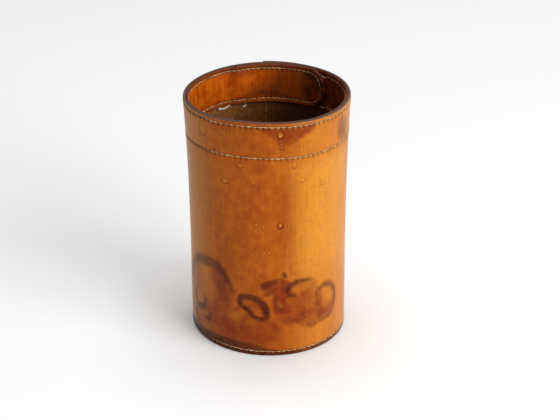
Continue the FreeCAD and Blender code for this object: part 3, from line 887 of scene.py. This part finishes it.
def make_tails():
    """Two cut ends of thread inside, just below the band, with their melted tips."""
    points = []
    faces = []
    for spots, width, melted in TAILS:
        spots = np.array(spots)
        fine = np.linspace(0, len(spots) - 1, 25)
        known = np.arange(len(spots))
        azimuth, drop, off = (np.interp(fine, known, spots[:, k]) for k in range(3))
        for values in (azimuth, drop, off):
            values[1:-1] = (values[:-2] + 2 * values[1:-1] + values[2:]) / 4
        height = BAND_FOOT - drop
        radius = wall_inside(azimuth, height) - 0.45 - off
        centres = place(azimuth, radius, height)
        swell = width * (1 + 0.9 * np.exp(-((fine - melted) / 0.4) ** 2))
        cord = cord_mesh(centres, -outward(azimuth), swell, swell * 0.75, 12, 9.0)
        collect(points, faces, *cord)
    points = np.concatenate(points)
    piece = put("thread_ends", points, faces)
    keep_values(piece, "thread_darkening", *(0 * points).T)
    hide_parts("thread_tails")
    return piece


# ---------------------------------------------------------------- materials


class Graph:
    """A material's nodes, written as expressions."""

    def __init__(self, name):
        self.material = bpy.data.materials.new(name)
        self.material.use_nodes = True
        self.tree = self.material.node_tree
        self.tree.nodes.clear()
        self.output = self.tree.nodes.new("ShaderNodeOutputMaterial")
        self.shader = self.tree.nodes.new("ShaderNodeBsdfPrincipled")
        self.tree.links.new(self.shader.outputs["BSDF"], self.output.inputs["Surface"])

    def feed(self, socket, value):
        if isinstance(value, bpy.types.NodeSocket):
            self.tree.links.new(value, socket)
        elif isinstance(value, tuple) and len(value) == 3 and socket.type == "RGBA":
            socket.default_value = (*value, 1.0)
        else:
            socket.default_value = value

    def surface(self, name, value):
        """Set or link one of the shader's own inputs."""
        self.feed(self.shader.inputs[name], value)

    def math(self, operation, *values):
        node = self.tree.nodes.new("ShaderNodeMath")
        node.operation = operation
        for socket, value in zip(node.inputs, values):
            self.feed(socket, value)
        return node.outputs[0]

    def times(self, first, second):
        return self.math("MULTIPLY", first, second)

    def vector(self, operation, *values):
        node = self.tree.nodes.new("ShaderNodeVectorMath")
        node.operation = operation
        for socket, value in zip(node.inputs, values):
            self.feed(socket, value)
        return node.outputs["Value" if operation == "LENGTH" else "Vector"]

    def scaled(self, vector, scale):
        return self.vector("MULTIPLY", vector, scale)

    def parts(self, vector):
        node = self.tree.nodes.new("ShaderNodeSeparateXYZ")
        self.feed(node.inputs[0], vector)
        return node.outputs

    def attribute(self, name):
        node = self.tree.nodes.new("ShaderNodeAttribute")
        node.attribute_name = name
        return node.outputs["Vector"]

    def noise(self, vector, scale, detail=3.0, roughness=0.55, color=False):
        node = self.tree.nodes.new("ShaderNodeTexNoise")
        self.feed(node.inputs["Vector"], vector)
        node.inputs["Scale"].default_value = scale
        node.inputs["Detail"].default_value = detail
        node.inputs["Roughness"].default_value = roughness
        return node.outputs["Color" if color else "Fac"]

    def spread(self, value, low, high, to_low=0.0, to_high=1.0):
        """Map low..high smoothly onto to_low..to_high, held at both ends."""
        node = self.tree.nodes.new("ShaderNodeMapRange")
        node.interpolation_type = "SMOOTHSTEP"
        for socket, number in zip(node.inputs, (value, low, high, to_low, to_high)):
            self.feed(socket, number)
        return node.outputs[0]

    def mix(self, share, first, second, blend="MIX"):
        node = self.tree.nodes.new("ShaderNodeMix")
        node.data_type = "RGBA"
        node.blend_type = blend
        self.feed(node.inputs[0], share)
        self.feed(node.inputs[6], first)
        self.feed(node.inputs[7], second)
        return node.outputs[2]

    def bump(self, height, distance, strength=1.0, normal=None):
        node = self.tree.nodes.new("ShaderNodeBump")
        node.inputs["Strength"].default_value = strength
        node.inputs["Distance"].default_value = distance
        self.feed(node.inputs["Height"], height)
        if normal is not None:
            self.feed(node.inputs["Normal"], normal)
        return node.outputs[0]

    def total(self, values):
        result = values[0]
        for value in values[1:]:
            result = self.math("ADD", result, value)
        return result


# Dried edges of stains, soaked leather, and how fine upright veins and small spots darken it.
PURPLE = (0.058, 0.0062, 0.0012)
RUSSET = (0.215, 0.0225, 0.0010)
VEIN_FILTER = (0.80, 0.66, 0.50)
SPOT_FILTER = (0.82, 0.66, 0.50)

# Painted shade on the flesh side inside the cup and in and around the stitch pits; grime and
# painted shade on the facing band.
FLESH_SHADE = (0.030, 0.012, 0.005)
PIT_SHADE = (0.020, 0.006, 0.002)
PIT_HALO_SHADE = (0.070, 0.020, 0.005)
EDGE_GRIME = (0.070, 0.018, 0.006)
GRIME_AND_SHADE_COLOR = (0.046, 0.012, 0.005)


def drop_marks(g, wobble, pale):
    """How dark the rings of the dried drops are at each point, darker on their lower side as
    painted shade under the raised drop, and how pale their middles, partly a painted highlight.
    """
    drop = g.attribute("drop")
    distance = g.vector("LENGTH", g.vector("ADD", g.scaled(drop, (1.0, 1.0, 0.0)), wobble))
    _, up, dark = g.parts(drop)
    # Painted shade: each ring is darker on its lower side, under the raised drop.
    low = g.times(dark, g.spread(up, -1.0, 1.0, 1.0, 0.35))
    off = g.math("ABSOLUTE", g.math("SUBTRACT", distance, 0.85))
    ring = g.times(g.spread(off, 0.0, 0.38, 1.0, 0.0), low)
    return ring, g.times(g.spread(distance, 0.8, 0.2, 0.0, 1.0), pale)


def upright_streaks(g, sheet, per_mm, stretch=0.03, detail=4.0):
    return g.noise(g.scaled(sheet, (1.0, stretch, 0.0)), per_mm, detail, 0.6)


def tanned_leather(name, look):
    """Vegetable-tanned leather, grain and flesh, on a cut sheet."""
    g = Graph(name)
    sheet = g.attribute("sheet")
    up, depth = g.parts(sheet)[1:]
    gap, pit, flesh_shade = g.parts(g.attribute("wear_and_shade"))
    flat = g.scaled(sheet, (1.0, 1.0, 0.0))

    broad = g.noise(g.scaled(flat, (1.0, 0.45, 0.0)), 0.05, 3.0, 0.5)
    cloud = g.noise(flat, 0.16, 5.0, 0.62)
    fine = upright_streaks(g, sheet, 1.5, 0.05)
    tone = g.total([
        g.times(broad, 0.34),
        g.times(cloud, 0.42),
        g.times(fine, look["streaks"]),
    ])
    middle = 0.38 + look["streaks"] / 2
    grain = g.mix(g.spread(tone, middle - 0.13, middle + 0.13), look["dark"], look["light"])

    if look["stained"]:
        purple, russet, pale = g.parts(g.attribute("stain_and_shade"))
        golden, dull, drop_pale_and_highlight = g.parts(g.attribute("tint"))
        # Partly painted light: golden towards the window side and paler, duller brown towards the
        # left, each partly the leather's own colour.
        grain = g.mix(g.times(golden, 0.84), grain, g.mix(0.36, look["golden"], grain))
        grain = g.mix(g.times(dull, 0.70), grain, look["dull"])
        veins = g.spread(upright_streaks(g, sheet, 0.6, 0.03, 5.0), 0.48, 0.70, 0.0, 0.42)
        grain = g.mix(veins, grain, VEIN_FILTER, "MULTIPLY")
        spots = g.spread(g.noise(flat, 0.34, 1.0, 0.4), 0.58, 0.72, 0.0, 0.45)
        grain = g.mix(spots, grain, SPOT_FILTER, "MULTIPLY")
        worn_wax = g.spread(g.noise(flat, 0.42, 4.0, 0.65), 0.30, 0.62, 0.76, 1.0)
        grain = g.mix(g.times(russet, worn_wax), grain, RUSSET)
        faded = g.mix(0.2, look["light"], look["golden"])
        grain = g.mix(g.times(pale, 0.8), grain, faded)
        jitter = g.noise(flat, 0.6, 2.0, 0.5, color=True)
        wobble = g.scaled(g.vector("SUBTRACT", jitter, (0.5, 0.5, 0.5)), (0.9, 0.9, 0.0))
        ring, inside = drop_marks(g, wobble, drop_pale_and_highlight)
        # The drops' pale middles, partly a painted highlight on the raised drop.
        grain = g.mix(inside, grain, g.mix(0.5, look["light"], look["golden"]))
        edge = g.math("MAXIMUM", g.times(purple, worn_wax), ring)
        grain = g.mix(edge, grain, PURPLE)

    fibre = g.noise(g.scaled(flat, (1.0, 0.30, 0.0)), 1.3, 5.0, 0.7)
    flesh_tone = g.total([g.times(fibre, 0.7), g.times(cloud, 0.3)])
    flesh = g.mix(g.spread(flesh_tone, 0.38, 0.62), look["flesh_dark"], look["flesh_light"])
    # Painted shade on the flesh side: on the wall's right inside the cup; the band and the bottom
    # are darkened all over.
    flesh = g.mix(g.times(flesh_shade, 0.82), flesh, FLESH_SHADE)
    on_flesh = g.spread(depth, 0.80, 0.97)
    color = g.mix(on_flesh, grain, flesh)
    burnish = g.math("ADD", gap, g.times(cloud, 0.5))
    worn = g.spread(burnish, look["burnish"], look["burnish"] + 0.8, 1.0, 0.0)
    color = g.mix(worn, color, look["edge"])
    # Painted shade in the stitch pits, and fainter in the dents and troughs round them.
    color = g.mix(g.spread(pit, 0.16, 0.50), color, PIT_SHADE)
    color = g.mix(g.spread(pit, 0.02, 0.14, 0.0, 0.30), color, PIT_HALO_SHADE)
    if look["grimed_and_shaded"]:
        grime = g.math("ADD", gap, g.times(g.math("SUBTRACT", cloud, 0.5), 6.0))
        color = g.mix(g.spread(grime, 0.4, 3.6, 0.34, 0.0), color, EDGE_GRIME)
        # Grime on the facing band, and painted shade on its right side inside the cup, where it
        # lies in shadow.
        band_grime_and_shade = g.parts(g.attribute("stain_and_shade"))[0]
        patchy = g.spread(cloud, 0.36, 0.58, 0.6, 1.0)
        color = g.mix(g.times(band_grime_and_shade, patchy), color, GRIME_AND_SHADE_COLOR)
    g.surface("Base Color", color)

    pores = g.noise(flat, 3.2, 3.0, 0.6)
    wax = g.spread(cloud, 0.3, 0.7, -0.06, 0.08)
    rough = g.math("ADD", g.spread(on_flesh, 0.0, 1.0, look["roughness"], 0.85), wax)
    g.surface("Roughness", rough)
    g.surface("IOR", 1.45)
    g.surface("Specular IOR Level", look["specular"])
    g.surface("Coat Weight", look["polish"])
    g.surface("Coat Roughness", 0.3)
    g.surface("Sheen Weight", look["sheen"])
    g.surface("Sheen Roughness", 0.4)
    g.surface("Sheen Tint", (1.0, 0.86, 0.70, 1))
    height = g.total([
        g.times(pores, 0.30),
        g.times(fine, 0.35),
        g.times(g.times(fibre, on_flesh), 2.5),
    ])
    normal = g.bump(height, 0.00022, 0.55)
    if look["stained"]:
        swelling = g.math("SUBTRACT", inside, g.times(ring, 0.6))
        normal = g.bump(swelling, 0.00015, 0.5, normal)
    g.surface("Normal", normal)
    return g.material


WALL_LOOK = {
    "dark": (0.330, 0.060, 0.0012),
    "light": (0.480, 0.112, 0.0040),
    "golden": (0.760, 0.345, 0.0340),
    "dull": (0.440, 0.165, 0.0160),
    "flesh_dark": (0.170, 0.058, 0.0120),
    "flesh_light": (0.440, 0.170, 0.0400),
    "edge": (0.085, 0.045, 0.036),
    "burnish": 0.30,
    "roughness": 0.44,
    "specular": 0.06,
    "polish": 0.04,
    "sheen": 0.38,
    "streaks": 0.20,
    "stained": True,
    "grimed_and_shaded": False,
}
BAND_LOOK = {
    **WALL_LOOK,
    "dark": (0.320, 0.042, 0.0012),
    "light": (0.600, 0.120, 0.0030),
    "burnish": 0.10,
    "edge": (0.110, 0.060, 0.048),
    "sheen": 0.0,
    "streaks": 0.34,
    "stained": False,
    "grimed_and_shaded": True,
}
BOTTOM_LOOK = {
    **WALL_LOOK,
    "dark": (0.150, 0.050, 0.012),
    "light": (0.260, 0.095, 0.022),
    "stained": False,
}


def waxed_thread(name, dark, light, grimy):
    g = Graph(name)
    texture = g.tree.nodes.new("ShaderNodeTexCoord").outputs["Object"]
    aged = g.noise(texture, 420.0, 2.0)
    grime = g.noise(texture, 130.0, 3.0)
    color = g.mix(g.spread(aged, 0.35, 0.65), dark, light)
    color = g.mix(g.spread(grime, 0.46, 0.66, 0.0, grimy), color, (0.24, 0.10, 0.035))
    thread_darkening = g.parts(g.attribute("thread_darkening"))[0]
    # Darker stitches: painted shade inside the cup on the right, and darker towards the left
    # outside.
    color = g.mix(g.times(thread_darkening, 0.9), color, (0.05, 0.018, 0.008))
    g.surface("Base Color", color)
    g.surface("Roughness", 0.62)
    fibres = g.noise(texture, 2600.0, 3.0)
    g.surface("Normal", g.bump(fibres, 0.00008, 0.5))
    return g.material


def dress(piece, material):
    piece.data.materials.clear()
    piece.data.materials.append(material)


# ---------------------------------------------------------------- camera, light and floor


def make_floor():
    g = Graph("pale_floor")
    g.surface("Base Color", (0.87, 0.88, 0.88, 1))
    g.surface("Roughness", 0.7)
    g.surface("Specular IOR Level", 0.2)
    mesh = bpy.data.meshes.new("floor")
    reach = 4.0
    corners = [(-reach, -reach, 0), (reach, -reach, 0), (reach, reach, 0), (-reach, reach, 0)]
    mesh.from_pydata(corners, [], [(0, 1, 2, 3)])
    floor = bpy.data.objects.new("floor", mesh)
    bpy.context.scene.collection.objects.link(floor)
    dress(floor, g.material)


def area_light(name, spot, aim, size, power):
    data = bpy.data.lights.new(name, "AREA")
    data.shape = "RECTANGLE"
    data.size, data.size_y = size
    data.energy = power
    light = bpy.data.objects.new(name, data)
    light.location = spot
    light.rotation_euler = (Vector(aim) - Vector(spot)).to_track_quat("-Z", "Y").to_euler()
    bpy.context.scene.collection.objects.link(light)


def make_lights():
    """A large window at the right, towards the camera, and a soft light overhead."""
    area_light("window", (1.66, -1.22, 1.02), (0, 0, 0.06), (1.7, 1.3), 46.0)
    area_light("ceiling", (0.0, 0.25, 2.6), (0, 0, 0), (1.8, 1.8), 41.0)
    world = bpy.data.worlds.new("room")
    world.use_nodes = True
    world.node_tree.nodes["Background"].inputs[0].default_value = (1, 1, 1, 1)
    world.node_tree.nodes["Background"].inputs[1].default_value = 0.30
    bpy.context.scene.world = world
    bpy.context.scene.view_settings.view_transform = "Standard"


def make_camera():
    """Camera 0.94 m away, looking down at 26.75 degrees and rolled by 1.2 degrees."""
    data = bpy.data.cameras.new("camera")
    data.sensor_width = 36.0
    data.lens = 100.9
    camera = bpy.data.objects.new("camera", data)
    camera.location = (0.0058, -0.8426, 0.4986)
    camera.rotation_mode = "ZYX"
    camera.rotation_euler = (math.radians(90 - 26.75), 0, math.radians(1.22))
    bpy.context.scene.collection.objects.link(camera)
    bpy.context.scene.camera = camera


# ---------------------------------------------------------------- the cup

make_camera()
make_lights()
make_floor()

dress(make_wall(), tanned_leather("wall_leather", WALL_LOOK))
dress(make_band(), tanned_leather("band_leather", BAND_LOOK))
dress(make_bottom(), tanned_leather("bottom_leather", BOTTOM_LOOK))

thread = waxed_thread("waxed_thread", (0.40, 0.20, 0.070), (0.68, 0.44, 0.20), 0.8)
ROWS = (
    ("rim_upper", UPPER, band_inside),
    ("rim_lower", LOWER, band_inside),
    ("tongue", TONGUE, band_inside),
    ("base", BASE, flange_inside),
    ("seam", SEAM, wall_inside),
)
for row_name, row, inner_face in ROWS:
    for where, face, side in (("outer", outside, 1), ("inner", inner_face, -1)):
        name = f"{row_name}_stitches_{where}"
        dress(make_stitches(name, row, face, side, f"{row_name}_thread_{where}"), thread)
dress(make_tails(), waxed_thread("cut_thread", (0.62, 0.46, 0.30), (0.90, 0.80, 0.66), 0.1))
